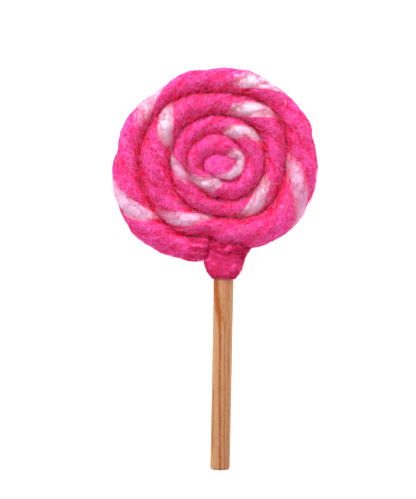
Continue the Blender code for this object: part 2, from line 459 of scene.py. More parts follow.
    def point(self, turn: Array, angle: Array) -> Array:
        """Gives points of the skin.

        Args:
            turn: Places along the rope.
            angle: Angles round its section.

        Returns:
            One row for each point.
        """
        middle, direction, half_width, half_height = self.section(turn)
        cos, sin = np.cos(angle), np.sin(angle)
        power = 2 / (self.squareness + self.heart_flatness * eased(turn, *self.heart_flattens))
        sideways = half_width * np.sign(cos) * np.abs(cos) ** power
        upwards = half_height * np.sign(sin) * np.abs(sin) ** power
        free = np.where(turn < 1.0, np.maximum(cos, 0.0), 0.0)
        shown = np.clip(self.crease_reach * np.maximum(sin, free), 0.0, 1.0)
        depth = self.crease(turn, angle) * shown
        share = depth / np.maximum(np.hypot(sideways, upwards), MM)
        keep = 1 - np.minimum(self.deepest_crease, share)
        level = direction * (sideways * keep)[..., None]
        height = np.maximum(middle[..., 2] + upwards * keep, 0.0)
        return np.concatenate([middle[..., :2] + level, height[..., None]], axis=-1)

    def nearest_streak(self, turn: Array, angle: Array) -> tuple[Array, Array, Array]:
        """Finds the pale streak nearest to each place.

        Args:
            turn: Places along the rope.
            angle: Angles round its section.

        Returns:
            Its number, whether there is one so near, and how far it is in twists.
        """
        phase = self.phase(turn, angle)
        number = -np.round(phase).astype(int)
        last = len(self.streaks) - 1
        return np.clip(number, 0, last), (number >= 0) & (number <= last), phase + number

    def paleness(self, turn: Array, angle: Array) -> Array:
        """Says where the pale strand shows.

        Args:
            turn: Places along the rope.
            angle: Angles round its section.

        Returns:
            Above 0 inside the strand, below 0 outside, at most 1.
        """
        index, shown, away = self.nearest_streak(turn, angle)
        width, fade_low, fade_high, outer_tip, inner_tip = np.array([
            (s.width, s.fade_low, s.fade_high, s.outer_tip, s.inner_tip) for s in self.streaks
        ])[index].T
        across = 0.5 - 0.5 * np.cos(angle)
        above = np.sin(angle) > 0
        share = np.clip((across - outer_tip) / (inner_tip - outer_tip), 0.0, 1.0)
        half = self.strand_half_width * width * np.sin(math.pi * share) ** self.strand_roundness
        tip = (np.minimum(share, 1 - share) - self.tip_start) / self.tip_fade
        inside = np.minimum((half - away) / fade_low, (half + away) / fade_high)
        inside = np.where(shown, np.minimum(inside, tip), NOT_PALE)
        middle = np.interp(turn, self.band_places, self.band_across)
        reach = np.interp(turn, self.band_places, self.band_half, left=0.0, right=0.0)
        band = (reach - np.abs(across - middle)) / self.band_fade
        band = np.minimum(band, eased(-turn, *self.band_ends))
        inside = np.maximum(inside, np.where((reach > 0) & above, band, NOT_PALE))
        for blush in self.blushes:
            near = bump_at(turn, blush.place, blush.length) * bump_at(across, blush.across, blush.breadth)
            inside = inside - blush.strength * near * above
        return np.clip(inside, NOT_PALE, 1.0)

    def whiteness(self, turn: Array, angle: Array) -> Array:
        """Gives how clean of pink the nearest pale streak is."""
        index, _, _ = self.nearest_streak(turn, angle)
        return np.array([streak.whiteness for streak in self.streaks])[index]

    def painted_shade(self, turn: Array, angle: Array) -> Array:
        """Says how much painted shade a place gets: deep in a groove, in a crease between strands and on
        the underside.

        Args:
            turn: Places along the rope.
            angle: Angles round its section.

        Returns:
            0 on the open top, up to 1 where the painted shade is deepest.
        """
        # Painted shade in the grooves between turns, weaker in the heart, plus the creases and the
        # underside.
        inner = eased(-np.cos(angle), *self.inner_groove_shade)
        outer = eased(np.cos(angle), *self.outer_groove_shade) * eased(turn, *self.groove_shade_starts)
        heart = 1 - 0.8 * eased(turn, *self.heart_shade_fades)
        inner = inner * (1 - 0.6 * eased(self.inner_turn(turn), 3.65, 3.85) * (turn < 3.25))
        crease = np.clip(self.crease(turn, angle) / self.crease_shade_depth, 0.0, 0.5)
        under = eased(-np.sin(angle), *self.underside_shade_angles) * self.underside_shade_strength
        return np.clip(np.maximum(inner, outer) * heart + crease + under, 0.0, 1.0)


@dataclass(frozen=True)
class Quantity:
    """A number that varies over a surface: a shader socket that takes part in sums."""

    bench: "ShaderBench"
    socket: Socket

    def combine(self, operation: str, *values: "Quantity | float") -> "Quantity":
        """Adds one Math node on the values."""
        node = self.bench.node("ShaderNodeMath", {"operation": operation}, dict(enumerate(values)))
        return Quantity(self.bench, node.outputs[0])

    def __add__(self, other: "Quantity | float") -> "Quantity":
        """Adds."""
        return self.combine("ADD", self, other)

    __radd__ = __add__

    def __sub__(self, other: "Quantity | float") -> "Quantity":
        """Subtracts."""
        return self.combine("SUBTRACT", self, other)

    def __rsub__(self, other: float) -> "Quantity":
        """Subtracts this from a number."""
        return self.combine("SUBTRACT", other, self)

    def __mul__(self, other: "Quantity | float") -> "Quantity":
        """Multiplies."""
        return self.combine("MULTIPLY", self, other)

    __rmul__ = __mul__

    def __truediv__(self, other: "Quantity | float") -> "Quantity":
        """Divides."""
        return self.combine("DIVIDE", self, other)

    def size(self) -> "Quantity":
        """Drops the sign."""
        return self.combine("ABSOLUTE", self)

    def held(self) -> "Quantity":
        """Holds the value between 0 and 1."""
        return self.step(0.0, 1.0, "LINEAR")

    def step(self, low: float, high: float, shape: str = "SMOOTHSTEP") -> "Quantity":
        """Makes a step from 0 at low to 1 at high.

        Args:
            low: Value where the step starts.
            high: Value where it ends.
            shape: The Map Range node's interpolation.

        Returns:
            The step.
        """
        inputs = {"Value": self, "From Min": low, "From Max": high}
        node = self.bench.node("ShaderNodeMapRange", {"interpolation_type": shape}, inputs)
        return Quantity(self.bench, node.outputs["Result"])

    def hump(self, middle: "Quantity | float", spread: float) -> "Quantity":
        """Makes a hump of height 1 round a middle, and 0 past its spread either side."""
        return (1 - (self - middle).size() / spread).step(0.0, 1.0)


class ShaderBench:
    """Builds one material's nodes."""

    def __init__(self, name: str) -> None:
        """Starts a material.

        Args:
            name: The material's name.
        """
        self.material = bpy.data.materials.new(name)
        self.material.use_nodes = True
        self.tree = self.material.node_tree
        self.tree.nodes.clear()

    def node(self, kind: str, settings: dict[str, object], inputs: dict) -> bpy.types.Node:
        """Adds any node.

        Args:
            kind: The node's type.
            settings: Its settings, which are set first.
            inputs: Values or links of its sockets, by name or number.

        Returns:
            The node.
        """
        made = self.tree.nodes.new(kind)
        for key, value in settings.items():
            setattr(made, key, value)
        for key, value in inputs.items():
            if isinstance(value, Quantity):
                value = value.socket
            if isinstance(value, Socket):
                self.tree.links.new(value, made.inputs[key])
            else:
                made.inputs[key].default_value = value
        return made

    def attribute(self, name: str) -> Quantity:
        """Reads a number that the mesh carries."""
        made = self.node("ShaderNodeAttribute", {"attribute_name": name}, {})
        return Quantity(self, made.outputs["Fac"])

    def object_place(self) -> Socket:
        """Gives the point's place in metres."""
        return self.node("ShaderNodeTexCoord", {}, {}).outputs["Object"]

    def parts(self, vector: Socket) -> list[Quantity]:
        """Splits a vector into its three numbers."""
        outputs = self.node("ShaderNodeSeparateXYZ", {}, {"Vector": vector}).outputs
        return [Quantity(self, output) for output in outputs]

    def joined(self, *numbers: Quantity | float) -> Socket:
        """Makes a vector of three numbers."""
        return self.node("ShaderNodeCombineXYZ", {}, dict(enumerate(numbers))).outputs[0]

    def noise(
        self, vector: Socket, grain: float, detail: float = 2.0, rough: float = 0.5
    ) -> Quantity:
        """Adds a noise pattern, about 0.5 on average.

        Args:
            vector: Where it is read.
            grain: Size of its lumps.
            detail: Finer layers.
            rough: Strength of the finer layers.

        Returns:
            The noise.
        """
        inputs = {"Vector": vector, "Scale": 1 / grain, "Detail": detail, "Roughness": rough}
        made = self.node("ShaderNodeTexNoise", {}, inputs)
        return Quantity(self, made.outputs["Fac"])

    def curls(self, vector: Socket, grain: float, width: float) -> Quantity:
        """Draws thin curly lines, like hairs that lie every way. Their width is a share of the grain."""
        return self.noise(vector, grain, 1.5, 0.4).hump(0.5, width)

    def blend(self, share: Quantity, first: object, second: object) -> Socket:
        """Mixes two colours.

        Args:
            share: 0 for the first colour, 1 for the second.
            first: A colour, or a socket that gives one.
            second: A colour, or a socket that gives one.

        Returns:
            The mixed colour's socket.
        """
        inputs: dict = {0: share}
        for key, colour in ((6, first), (7, second)):
            inputs[key] = (*colour, 1.0) if isinstance(colour, tuple) else colour
        return self.node("ShaderNodeMix", {"data_type": "RGBA"}, inputs).outputs[2]

    def relief(self, strength: float, distance: float, height: Quantity) -> Socket:
        """Turns a height into small bumps."""
        inputs = {"Strength": strength, "Distance": distance, "Height": height}
        return self.node("ShaderNodeBump", {}, inputs).outputs[0]

    def finish(self, inputs: dict) -> bpy.types.Material:
        """Ends the material with a Principled shader.

        Args:
            inputs: Values or links of the shader's sockets.

        Returns:
            The material.
        """
        shader = self.node("ShaderNodeBsdfPrincipled", {}, inputs)
        self.node("ShaderNodeOutputMaterial", {}, {"Surface": shader.outputs["BSDF"]})
        return self.material


@dataclass(frozen=True)
class WoolFinish:
    """Felted wool, pink with a pale strand.

    Painted_shade and pale_painted_shade are painted shade deep in a groove, in a crease and under the
    rope.
    Deep and light follow the bumps' noise: partly the wool's uneven tone, partly painted shade in the
    felt's small hollows and painted highlight on raised fibres. Body shows in most places and hair on
    single ones.
    Pink is felted into pale_rose, and pale_white is clean. Deep_gap_shade is painted shade in the deepest
    gaps between two turns, and sheen the fuzz against the light.
    """

    painted_shade: Colour = tint(244, 0, 52)
    deep: Colour = tint(242, 2, 76)
    body: Colour = tint(243, 46, 155)
    light: Colour = tint(247, 140, 236)
    hair: Colour = tint(255, 150, 216)
    pale_painted_shade: Colour = tint(236, 80, 126)
    pale_rose: Colour = tint(243, 174, 228)
    pale_white: Colour = tint(240, 238, 247)
    deep_gap_shade: Colour = tint(150, 4, 40)
    sheen: Colour = (1.0, 0.55, 0.85)

    def material(self, name: str) -> bpy.types.Material:
        """Makes the material for a piece with the fibre UV map and the felt's four attributes.

        Args:
            name: The material's name.

        Returns:
            The material.
        """
        bench = ShaderBench(name)
        along, across, _ = bench.parts(bench.node("ShaderNodeUVMap", {"uv_map": "fibre"}, {}).outputs[0])
        place = bench.object_place()
        across = across + (bench.noise(place, 5 * MM, 1.0) - 0.5) * (3 * MM)
        strands = bench.noise(bench.joined(along / 7, across, 0.0), 0.5 * MM, 2.0, 0.8)
        grains = bench.noise(place, 0.6 * MM, 3.0, 0.85)
        specks = bench.noise(place, 0.34 * MM, 1.0)
        patches = bench.noise(place, 4 * MM, 2.0)
        curls = bench.curls(place, 1.7 * MM, 0.06) + bench.curls(place, 2.6 * MM, 0.04)
        strand = strands - 0.5
        grain = grains - 0.5
        # Darker in the bumps' small hollows and lighter on raised fibres: partly the wool's uneven tone,
        # partly painted shade and painted highlight.
        rise = strands * 0.8 + grains * 0.4 + specks * 0.6 + patches * 0.1
        rise = rise.step(0.76, 1.14, "LINEAR")
        pink = bench.blend(rise.step(0.0, 0.5), self.deep, self.body)
        pink = bench.blend(rise.step(0.5, 1.0), pink, self.light)
        # Painted shade from the mesh: in grooves, creases, under the rope, between the end's strands and
        # over the collar.
        shade_share = bench.attribute("painted_shade")
        shade_share = (shade_share + grain * shade_share * 1.8 + (patches - 0.5) * shade_share * 4.0).held()
        pink = bench.blend(curls * (1 - shade_share) * 0.35, pink, self.hair)
        pink = bench.blend(shade_share * 0.95, pink, self.painted_shade)
        white = (bench.attribute("white") + strand * 1.2 + grain * 1.2).held()
        pale = bench.blend(white, self.pale_rose, self.pale_white)
        pale = bench.blend(curls * 0.1, pale, self.pale_rose)
        pale = bench.blend((1 - strands.step(0.36, 0.5)) * 0.5, pale, self.pale_rose)
        pale = bench.blend(shade_share * 0.8, pale, self.pale_painted_shade)
        edge = bench.attribute("pale") + strand * 2.4 + grain * 1.2
        colour = bench.blend(edge.step(-0.3, 0.55), pink, pale)
        # Painted shade in the deepest gaps between turns.
        gap_shaded = (bench.attribute("deep_gap_shade") + grain * 0.8 + strand * 0.6).step(0.3, 0.9)
        colour = bench.blend(gap_shaded * 0.9, colour, self.deep_gap_shade)
        height = strands * 0.7 + grains * 0.5 + specks * 0.4 + curls * 0.06
        return bench.finish({
            "Base Color": colour, "Roughness": 0.9, "Normal": bench.relief(0.8, 0.5 * MM, height),
            "Sheen Weight": 0.06, "Sheen Roughness": 0.5, "Sheen Tint": (*self.sheen, 1.0),
            "Specular IOR Level": 0.0,
        })


# The collar's colours, with a darker painted shade colour for the coil's shadow over the dome and flare.
COLLAR_WOOL = WoolFinish(
    painted_shade=tint(164, 6, 48), deep=tint(228, 6, 72), body=tint(252, 62, 146),
    light=tint(252, 108, 200), hair=tint(252, 130, 208),
)


@dataclass(frozen=True)
class FibreFinish:
    """Loose wool fibres, whose mesh carries a tone for each: the darkest colour and the lightest."""

    dark: Colour
    light: Colour

    def material(self, name: str) -> bpy.types.Material:
        """Makes the material.

        Args:
            name: The material's name.

        Returns:
            The material.
        """
        bench = ShaderBench(name)
        mottle = bench.noise(bench.object_place(), 2 * MM)
        tone = (bench.attribute("tone") + (mottle - 0.5) * 0.5).held()
        colour = bench.blend(tone, self.dark, self.light)
        return bench.finish({"Base Color": colour, "Roughness": 0.9, "Specular IOR Level": 0.0})


@dataclass(frozen=True)
class GrowthLine:
    """A brown growth line that runs along the stick.

    Across is its distance to the right of the stick's axis at the collar, and drift how far it moves
    right for each metre from there. Width is half the line's breadth, strength how dark it is, and
    start and end are distances from the collar.
    """

    across: float
    drift: float
    width: float
    strength: float
    start: float
    end: float


@dataclass(frozen=True)
class WoodFinish:
    """Bare softwood with brown growth lines along it, short dark pores, and a trace of the wool's dye."""

    tan: Colour = tint(195, 158, 111)
    brown: Colour = tint(166, 87, 20)
    pore: Colour = tint(130, 70, 40)
    stained: Colour = tint(206, 110, 112)
    lines: tuple[GrowthLine, ...] = (
        GrowthLine(-4.0 * MM, 0.15, 1.9 * MM, 1.2, -0.02, 0.026),
        GrowthLine(-1.3 * MM, 0.022, 0.7 * MM, 1.0, 0.010, 0.2),
        GrowthLine(0.9 * MM, 0.0, 0.4 * MM, 0.4, -0.01, 0.030),
        GrowthLine(1.3 * MM, 0.018, 0.5 * MM, 0.6, 0.014, 0.2),
        GrowthLine(2.3 * MM, 0.0, 0.4 * MM, 0.4, -0.01, 0.034),
        GrowthLine(3.3 * MM, 0.012, 0.5 * MM, 0.5, -0.01, 0.2),
        GrowthLine(-4.4 * MM, 0.014, 0.5 * MM, 0.8, 0.048, 0.092),
    )
    line_fade: float = 0.012

    def material(self, name: str) -> bpy.types.Material:
        """Makes the material.

        Args:
            name: The material's name.

        Returns:
            The material.
        """
        bench = ShaderBench(name)
        x, y, z = bench.parts(bench.object_place())
        wobble = bench.noise(bench.joined(x * 30, y * 6, z * 30), 0.125, 2.0) - 0.5
        across = x - STICK_X + wobble * (1.2 * MM) + z * 0.06
        below = COLLAR_EDGE - y
        brown: Quantity | float = 0.0
        for line in self.lines:
            shown = below.step(line.start, line.start + self.line_fade)
            shown = shown * (1 - below.step(line.end - self.line_fade, line.end))
            middle = below * line.drift + line.across
            brown = brown + across.hump(middle, line.width * 1.6) * shown * line.strength
        fine = bench.noise(bench.joined(x, y / 30, z), 0.4 * MM, 3.0, 0.7)
        flecks = bench.noise(bench.joined(x, y / 3, z), 0.6 * MM, 3.0, 0.9)
        pores = bench.noise(bench.joined(x, y / 12, z), 0.22 * MM, 1.0)
        streaked = brown * (0.1 + fine * 0.8 + flecks * 0.9)
        share = (streaked + (fine - 0.5) * 0.8 + (flecks - 0.45) * 1.6).held()
        colour = bench.blend(share, self.tan, self.brown)
        colour = bench.blend(pores.step(0.66, 0.8) * 0.5, colour, self.pore)
        dyed = (1 - below.step(0.002, 0.010)) * across.hump(1.4 * MM, 2.4 * MM) * flecks.step(0.35, 0.65)
        colour = bench.blend(dyed * 0.8, colour, self.stained)
        return bench.finish({
            "Base Color": colour, "Roughness": 0.55 + fine * 0.2, "Specular IOR Level": 0.3,
            "Normal": bench.relief(0.4, 0.15 * MM, fine - pores * 0.3),
        })


@dataclass(frozen=True)
class FloorFinish:
    """Matt white board."""

    white: Colour = (0.84, 0.84, 0.84)
    shade: Colour = (0.82, 0.82, 0.82)
    glow: float = 0.95
    mottle: float = 0.025

    def material(self, name: str) -> bpy.types.Material:
        """Makes the material.

        Args:
            name: The material's name.

        Returns:
            The material.
        """
        bench = ShaderBench(name)
        share = bench.noise(bench.object_place(), self.mottle)
        return bench.finish({
            "Base Color": bench.blend(share, self.white, self.shade), "Roughness": 0.9,
            "Emission Color": (*self.white, 1.0), "Emission Strength": self.glow,
            "Specular IOR Level": 0.1,
        })


def placed(name: str, data: bpy.types.ID) -> Object:
    """Puts an object in the scene.

    Args:
        name: Its name.
        data: Its mesh, light or camera.

    Returns:
        The object.
    """
    made = bpy.data.objects.new(name, data)
    bpy.context.scene.collection.objects.link(made)
    return made


def as_mesh(name: str, bm: bmesh.types.BMesh) -> bpy.types.Mesh:
    """Turns a finished bmesh into a mesh.

    Args:
        name: The mesh's name.
        bm: The bmesh, which is freed.

    Returns:
        The mesh.
    """
    mesh = bpy.data.meshes.new(name)
    bm.to_mesh(mesh)
    bm.free()
    return mesh


def add_piece(mesh: bpy.types.Mesh, material: bpy.types.Material) -> Object:
    """Puts a finished mesh in the scene as a piece of the toy, under the mesh's name.

    Args:
        mesh: The mesh, in place.
        material: Its material.

    Returns:
        The piece.
    """
    piece = placed(mesh.name, mesh)
    mesh.materials.append(material)
    mesh.shade_smooth()
    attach(piece, BODY)
    log.info("%s: %d faces", mesh.name, len(mesh.polygons))
    return piece


def set_attribute(mesh: bpy.types.Mesh, name: str, values: Array) -> None:
    """Gives each vertex of a mesh a number."""
    attribute = mesh.attributes.new(name, "FLOAT", "POINT")
    attribute.data.foreach_set("value", values.astype(np.float32))


def skin_mesh(name: str, columns: int, rows: int) -> tuple[bpy.types.Mesh, Array, Array]:
    """Makes a flat grid of faces that is to be wrapped into a skin.

    Args:
        name: The mesh's name.
        columns: Faces along it.
        rows: Faces round it.

    Returns:
        The mesh, and for each vertex its share from 0 to 1 along and round the skin.
    """
    bm = bmesh.new()
    bmesh.ops.create_grid(bm, x_segments=columns, y_segments=rows, size=0.5)
    mesh = as_mesh(name, bm)
    flat = np.empty(len(mesh.vertices) * 3)
    mesh.vertices.foreach_get("co", flat)
    shares = flat.reshape(-1, 3) + 0.5
    return mesh, shares[:, 0], shares[:, 1]


def closed_ends(places: Array, along: Array) -> Array:
    """Draws the first and the last ring of a skin together into a point.

    Args:
        places: The vertices' places on the skin.
        along: Their shares along it.

    Returns:
        The places.
    """
    for end in (along == along.min(), along == along.max()):
        places[end] = places[end].mean(axis=0)
    return places


def wrap_skin(mesh: bpy.types.Mesh, places: Array, fibre: Array, marks: dict[str, Array]) -> None:
    """Moves a grid's vertices onto a skin, closes its seam and its ends, and turns it right side out.

    Args:
        mesh: The grid.
        places: The vertices' places on the skin.
        fibre: Each vertex's length along and across the fibres.
        marks: The numbers that the felt's material reads, for each vertex.
    """
    marks["deep_gap_shade"] = shade_of_gaps(places)
    for name, values in marks.items():
        set_attribute(mesh, name, values)
    mesh.vertices.foreach_set("co", places.astype(np.float32).ravel())
    corner = np.empty(len(mesh.loops), np.int32)
    mesh.loops.foreach_get("vertex_index", corner)
    layer = mesh.uv_layers.new(name="fibre")
    layer.uv.foreach_set("vector", fibre[corner].astype(np.float32).ravel())
    bm = bmesh.new()
    bm.from_mesh(mesh)
    bmesh.ops.remove_doubles(bm, verts=bm.verts, dist=0.0005 * MM)
    bmesh.ops.recalc_face_normals(bm, faces=bm.faces)
    bm.to_mesh(mesh)
    bm.free()


def skin_frame(point: SkinPoint, first: Array, second: Array) -> tuple[Array, Array, Array]:
    """Gives how a skin runs at each place.

    Args:
        point: The skin, whose first coordinate runs clockwise round its second, seen from outside.
        first: First coordinate of each place.
        second: Second coordinate of each place.

    Returns:
        The movement for each unit of the first coordinate, the same of the second, and the outward
        direction.
    """
    here = point(first, second)
    along = (point(first + NEAR_STEP, second) - here) / NEAR_STEP
    around = (point(first, second + NEAR_STEP) - here) / NEAR_STEP
    return along, around, unit(np.cross(around, along))


@dataclass
class CoilRope:
    """The twisted rope, wound into a flat coil."""

    skin: RopeSkin = RopeSkin()
    finish: WoolFinish = WoolFinish()
    faces_along: int = 1120
    faces_round: int = 84
    girth: float = 42 * MM
    lump_grain: float = 5.0 * MM
    lump_height: float = 0.35 * MM
    nap_grain: float = 1.6 * MM
    nap_height: float = 0.12 * MM
    lowest: float = 0.1 * MM
    end_tuft_length: float = 15.0 * MM
    end_tuft_height: float = 0.6 * MM
    end_wave: float = 7 * MM
    end_rag_length: float = 6 * MM
    end_strands: float = 3.4
    end_lobes: int = 10
    end_lobe_shift: float = -2.1
    end_raggedness: float = 0.005
    seed: int = 5

    def end_ridges(self, turn: Array, angle: Array) -> Array:
        """Gives the ridges of single strands that show where the rope ends.

        Args:
            turn: Places along the rope.
            angle: Angles round its section.

        Returns:
            Up to 1 on a strand, down to -1 between two, and 0 away from the end.
        """
        near = 1 - eased(self.skin.travelled(turn), 0.4 * self.end_tuft_length, self.end_tuft_length)
        length = self.skin.travelled(turn) / self.end_wave
        strand = np.stack([angle * self.end_strands, length, 0.3 * length], axis=-1)
        wander = 0.9 * LatticeNoise(self.seed + 2).at(strand, 1.0)
        return -near * np.cos(self.end_lobes * angle + self.end_lobe_shift + wander)

    def end_reach(self, turn: Array, angle: Array) -> Array:
        """Gives how far each strand's tip runs on past the rope's end.

        Args:
            turn: Places along the rope.
            angle: Angles round its section.

        Returns:
            The length at each place.
        """
        round_place = np.stack([np.cos(angle), np.sin(angle), np.zeros_like(angle)], axis=-1)
        lobes = LatticeNoise(self.seed + 3).at(round_place, 0.45)
        near = 1 - eased(self.skin.travelled(turn), 0.0, self.end_rag_length)
        return near * lobes * self.end_raggedness * math.tau * self.skin.edge_radius(turn)

    def build(self) -> None:
        """Makes the rope."""
        skin = self.skin
        mesh, along, around = skin_mesh("coil_rope", self.faces_along, self.faces_round)
        turn = skin.even_turns(along)
        angle = 1.5 * math.pi - math.tau * around
        places = skin.point(turn, angle)
        forward, _, outward = skin_frame(skin.point, turn, angle)
        ridges = self.end_ridges(turn, angle)
        lift = self.lump_height * LatticeNoise(self.seed).at(places, self.lump_grain)
        lift += self.nap_height * LatticeNoise(self.seed + 1).at(places, self.nap_grain)
        lift = (lift + self.end_tuft_height * ridges) * eased(places[:, 2], 0.0, 2 * MM)
        slide = self.end_reach(turn, angle)
        places = places + outward * lift[:, None] - unit(forward) * slide[:, None]
        places[:, 2] = np.maximum(places[:, 2], self.lowest)
        places = closed_ends(places, along)
        fibre = np.stack([skin.travelled(turn), skin.phase(turn, angle) * self.girth], axis=-1)
        # Painted shade between the single strands at the rope's loose end.
        strand_gap_shade = 1.8 * np.maximum(-ridges - 0.45, 0.0)
        wrap_skin(mesh, places, fibre, {
            "pale": skin.paleness(turn, angle), "white": skin.whiteness(turn, angle),
            "painted_shade": np.clip(skin.painted_shade(turn, angle) + strand_gap_shade, 0.0, 1.0),
        })
        piece = add_piece(mesh, self.finish.material("pink and pale wool"))
        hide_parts("coil")


@dataclass
class Stick:
    """The round wooden stick."""

    finish: WoodFinish = WoodFinish()
    radius: float = 5.0 * MM
    bottom: float = -153.4 * MM
    top: float = -42.4 * MM
    rim: float = 1.5 * MM
    sides: int = 72

    def build(self) -> None:
        """Makes the stick."""
        bm = bmesh.new()
        bmesh.ops.create_cone(
            bm, cap_ends=True, segments=self.sides, radius1=self.radius, radius2=self.radius,
            depth=self.top - self.bottom,
        )
        lay_down = Matrix.Rotation(-math.pi / 2, 4, "X")
        middle = Matrix.Translation((STICK_X, (self.top + self.bottom) / 2, STICK_Z))
        bmesh.ops.transform(bm, matrix=middle @ lay_down, verts=bm.verts)
        ends = [edge for edge in bm.edges if len({round(v.co.y, 6) for v in edge.verts}) == 1]
        bmesh.ops.bevel(
            bm, geom=ends, offset=self.rim, segments=5, profile=0.5, affect="EDGES", material=-1
        )
        mesh = as_mesh("wooden_stick", bm)
        piece = add_piece(mesh, self.finish.material("bare wood"))
        mesh.set_sharp_from_angle(angle=math.radians(40))
        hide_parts("stick")


@dataclass(frozen=True)
class CollarSkin:
    """The skin of the felt collar, over the share along its outline and the angle round it.

    The outline gives places along Y and half widths, in millimetres.
    """

    outline: tuple[tuple[float, float], ...] = (
        (-35.6, 0.1), (-36.0, 4.6), (-37.4, 8.2), (-39.8, 9.8), (-43.2, 10.6), (-46.2, 10.4),
        (-49.4, 9.8), (-52.2, 8.9), (-54.4, 7.6), (-55.9, 6.4), (-56.8, 5.6), (-56.4, 5.1),
        (-54.0, 4.9), (-46.0, 4.9), (-44.0, 0.1),
    )
    half_depth: float = 7.4 * MM
    least_depth: float = 5.6 * MM
    flare_start: float = -48.0 * MM
    flare_reach: float = 4.6 * MM
    flare_length: float = 8.0 * MM

    def point(self, share: Array, angle: Array) -> Array:
        """Gives points of the skin.

        Args:
            share: Share along the outline, from the top of the dome to the end of the bore.
            angle: Angle round the axis, 0 on the right and a quarter turn on top.

        Returns:
            One row for each point.
        """
        steps = share * (len(self.outline) - 1)
        along, half = (smooth_between(column, steps) for column in np.array(self.outline).T * MM)
        depth = half * self.half_depth / (half**4 + self.half_depth**4) ** 0.25
        depth = np.maximum(depth, np.minimum(half, self.least_depth))
        depth = depth * (1 - 0.5 * eased(along, -41.0 * MM, -38.5 * MM) * eased(-steps, -5.0, -4.0))
        flare = np.maximum(0.0, (along - self.flare_start) / self.flare_length)
        outside = 1 - eased(steps, 10.0, 11.0)
        right = np.maximum(np.cos(angle), 0.0) ** 2
        x = STICK_X + half * np.cos(angle)
        x = x + self.flare_reach * flare**2 * right * outside * eased(half, 0.0, 8 * MM)
        return np.stack([x, along, STICK_Z + depth * np.sin(angle)], axis=-1)


@dataclass
class Collar:
    """The felt barrel round the top of the stick."""

    skin: CollarSkin = CollarSkin()
    finish: WoolFinish = COLLAR_WOOL
    faces_along: int = 120
    faces_round: int = 120
    girth: float = 55 * MM
    thread_grain: float = 1.2 * MM
    thread_height: float = 0.45 * MM
    lump_grain: float = 3.5 * MM
    lump_height: float = 0.25 * MM
    seed: int = 31

    def shade(self, places: Array) -> Array:
        """Gives the collar's painted shade: a little everywhere, more in the coil's shadow at the dome's
        seam, in the corner below the flare and at the rim.

        Args:
            places: Points of the collar, one row each.

        Returns:
            A little painted shade on the open side, up to 1 deep down.
        """
        along = places[:, 1]
        seam = eased(along, -47.0 * MM, -40.5 * MM)
        corner = eased(places[:, 0] - STICK_X, 4.0 * MM, 10.5 * MM) * eased(along, -51.0 * MM, -45.0 * MM)
        rim = 0.5 * eased(-along, 55.0 * MM, 56.8 * MM)
        # Painted shade, with 0.12 all over for the coil's shadow.
        return np.clip(0.12 + seam + 0.9 * corner + rim, 0.0, 1.0)

    def build(self) -> None:
        """Makes the collar."""
        mesh, along, around = skin_mesh("felt_collar", self.faces_along, self.faces_round)
        angle = math.tau * around
        places = self.skin.point(along, angle)
        _, _, outward = skin_frame(self.skin.point, along, angle)
        arch = places[:, 1] + 1.5 * MM * bump_at(places[:, 0], STICK_X, 6 * MM)
        wound = np.stack([places[:, 0] / 3, arch, places[:, 2] / 3], axis=-1)
        lift = self.thread_height * LatticeNoise(self.seed).at(wound, self.thread_grain)
        lift += self.lump_height * LatticeNoise(self.seed + 1).at(places, self.lump_grain)
        lift *= 1 - eased(along, 0.66, 0.72)
        places = closed_ends(places + outward * lift[:, None], along)
        wrap_skin(mesh, places, np.stack([around * self.girth, places[:, 1]], axis=-1), {
            "pale": np.full(len(along), NOT_PALE), "white": np.zeros(len(along)),
            "painted_shade": self.shade(places),
        })
        piece = add_piece(mesh, self.finish.material("pink wool of the collar"))
        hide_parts("collar")


@dataclass(frozen=True)
class CoilCover:
    """A cover that lies on the coil's upper side and hangs a little into its grooves."""

    skin: RopeSkin
    droop: float = 1.2 * MM

    def point(self, y: Array, x: Array) -> Array:
        """Gives points of the cover.

        Args:
            y: The points' places along Y.
            x: The points' places along X.

        Returns:
            One row for each point. Past the coil's outline the cover hangs down its side.
        """
        skin = self.skin
        radius = np.hypot(x, y)
        part = ((np.arctan2(-x, -y) + skin.turned) / math.tau) % 1.0
        turn = part.copy()
        for whole in range(1, 4):
            turn += skin.edge_radius(part + whole) > radius
        turn = np.minimum(turn, skin.fold_starts)
        outer = skin.edge_radius(turn)
        inner = skin.edge_radius(turn + 1)
        across = np.clip((outer - radius) / np.maximum(outer - inner, MM), 0.0, 1.0)
        middle, _, _, half_height = skin.section(turn)
        surface = half_height * np.sqrt(np.maximum(1 - (2 * across - 1) ** 2, 0.0))
        height = middle[..., 2] + np.maximum(surface, half_height - self.droop)
        past = np.maximum(radius - skin.edge_radius(part), 0.0)
        pull = 1 - past / np.maximum(radius, MM)
        return np.stack([x * pull, y * pull, height - past], axis=-1)


